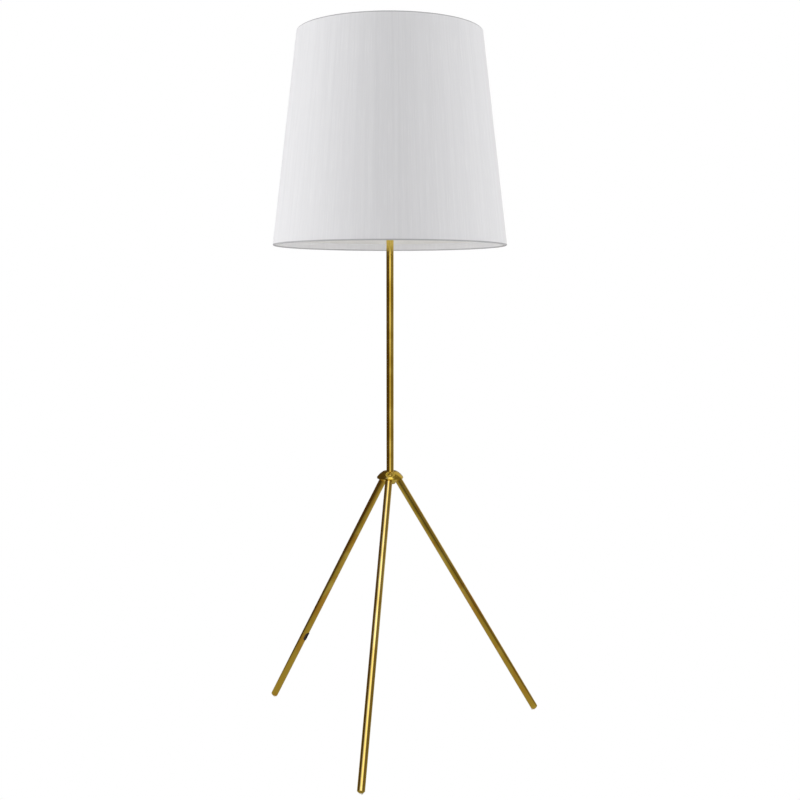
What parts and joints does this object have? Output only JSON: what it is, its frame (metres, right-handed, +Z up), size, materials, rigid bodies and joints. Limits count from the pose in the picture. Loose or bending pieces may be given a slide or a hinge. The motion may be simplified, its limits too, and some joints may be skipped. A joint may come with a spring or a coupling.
{
  "type": "tripod floor lamp",
  "caption": "Tripod floor lamp: aged brass tube stem and splayed tube legs joined at a turned hub, tapered drum shade in off-white cloth on a harp.",
  "frame": {"origin": "on the floor, at the middle of the lamp's footprint box; the stem's axis is parallel to Z, 58.3 mm behind it at y = +58.3 mm", "axes": "+Z up along the stem; -Y towards the front leg; +X to the right of a person who faces the front leg"},
  "size_m": [0.6468, 0.6273, 1.5464],
  "materials": {
    "aged_brass": "aged, hand polished, mottled patina",
    "brass_fittings": "machined",
    "polished_brass": "polished",
    "harp_brass": "brass plated wire and strip, satin",
    "contact_brass": "rolled thread, bright",
    "screw_steel": "zinc plated",
    "grommet_rubber": "matt black",
    "clear_pad": "clear, soft",
    "phenolic": "moulded dark brown",
    "switch_plastic": "moulded black",
    "insulating_paper": "pressed fibre",
    "bulb_glass": "frosted white",
    "bulb_cap_metal": "rolled thread",
    "bulb_black_glass": "black vitrite",
    "bulb_solder": "soldered tip",
    "shade_cloth": "off-white silk with fine upright slubs",
    "shade_liner": "white laminated lining",
    "ring_wire": "white enamel",
    "spider_wire": "white enamel"
  },
  "bodies": {
    "stand": {"hub": "aged_brass", "hub_cap": "aged_brass", "hub_lock_washer": "brass_fittings", "hub_lock_nut": "brass_fittings", "stem_tube": "aged_brass", "stem_foot_bush": "brass_fittings", "stem_head_bush": "brass_fittings", "stem_foot_nipple": "brass_fittings", "stem_head_nipple": "brass_fittings", "leg_tube_front": "aged_brass", "leg_bush_front": "brass_fittings", "leg_nipple_front": "brass_fittings", "foot_cap_front": "aged_brass", "foot_pad_front": "clear_pad", "leg_tube_right": "aged_brass", "leg_bush_right": "brass_fittings", "leg_nipple_right": "brass_fittings", "foot_cap_right": "aged_brass", "foot_pad_right": "clear_pad", "leg_tube_left": "aged_brass", "leg_bush_left": "brass_fittings", "leg_nipple_left": "brass_fittings", "foot_cap_left": "aged_brass", "foot_pad_left": "clear_pad", "cord_grommet": "grommet_rubber", "check_ring": "aged_brass", "harp_saddle": "harp_brass", "harp_bow": "harp_brass", "harp_stud": "harp_brass", "socket_cap": "polished_brass", "socket_shell": "polished_brass", "socket_insulator": "insulating_paper", "socket_body": "phenolic", "screw_shell": "contact_brass", "centre_contact": "contact_brass", "terminal_screws": "screw_steel", "bulb_contact": "bulb_solder", "bulb_insulator": "bulb_black_glass", "bulb_cap": "bulb_cap_metal", "bulb_glass": "bulb_glass"},
    "switch_knob": {"switch_shaft": "screw_steel", "switch_knob": "switch_plastic"},
    "harp_sleeve_left": {"harp_sleeve_left": "polished_brass"},
    "harp_sleeve_right": {"harp_sleeve_right": "polished_brass"},
    "shade": {"shade_fabric": "shade_cloth", "shade_liner": "shade_liner", "shade_top_ring": "ring_wire", "shade_bottom_ring": "ring_wire", "shade_spider": "spider_wire"},
    "finial_washer": {"finial_washer": "polished_brass"},
    "finial": {"finial": "polished_brass"}
  },
  "joints": [
    {"name": "shade_turn", "type": "hinge", "parent": "stand", "child": "shade", "pos_m": [0, 0.05827, 1.52099], "axis": [0, 0, 1], "continuous": true},
    {"name": "finial_lift", "type": "slide", "parent": "stand", "child": "finial_washer", "axis": [0, 0, 1], "range_m": [0, 0.0075]},
    {"name": "finial_turn", "type": "hinge", "parent": "finial_washer", "child": "finial", "pos_m": [0, 0.05827, 1.52399], "axis": [0, 0, 1], "range_deg": [0, 2880]},
    {"name": "switch_turn", "type": "hinge", "parent": "stand", "child": "switch_knob", "pos_m": [0, 0.03827, 1.25199], "axis": [0, -1, 0], "continuous": true},
    {"name": "sleeve_left_lift", "type": "slide", "parent": "stand", "child": "harp_sleeve_left", "axis": [0, 0, 1], "range_m": [0, 0.012]},
    {"name": "sleeve_right_lift", "type": "slide", "parent": "stand", "child": "harp_sleeve_right", "axis": [0, 0, 1], "range_m": [0, 0.012]}
  ],
  "couplings": [
    {"joint": "finial_turn", "follows": "finial_lift", "rad_per_m": 6679}
  ]
}
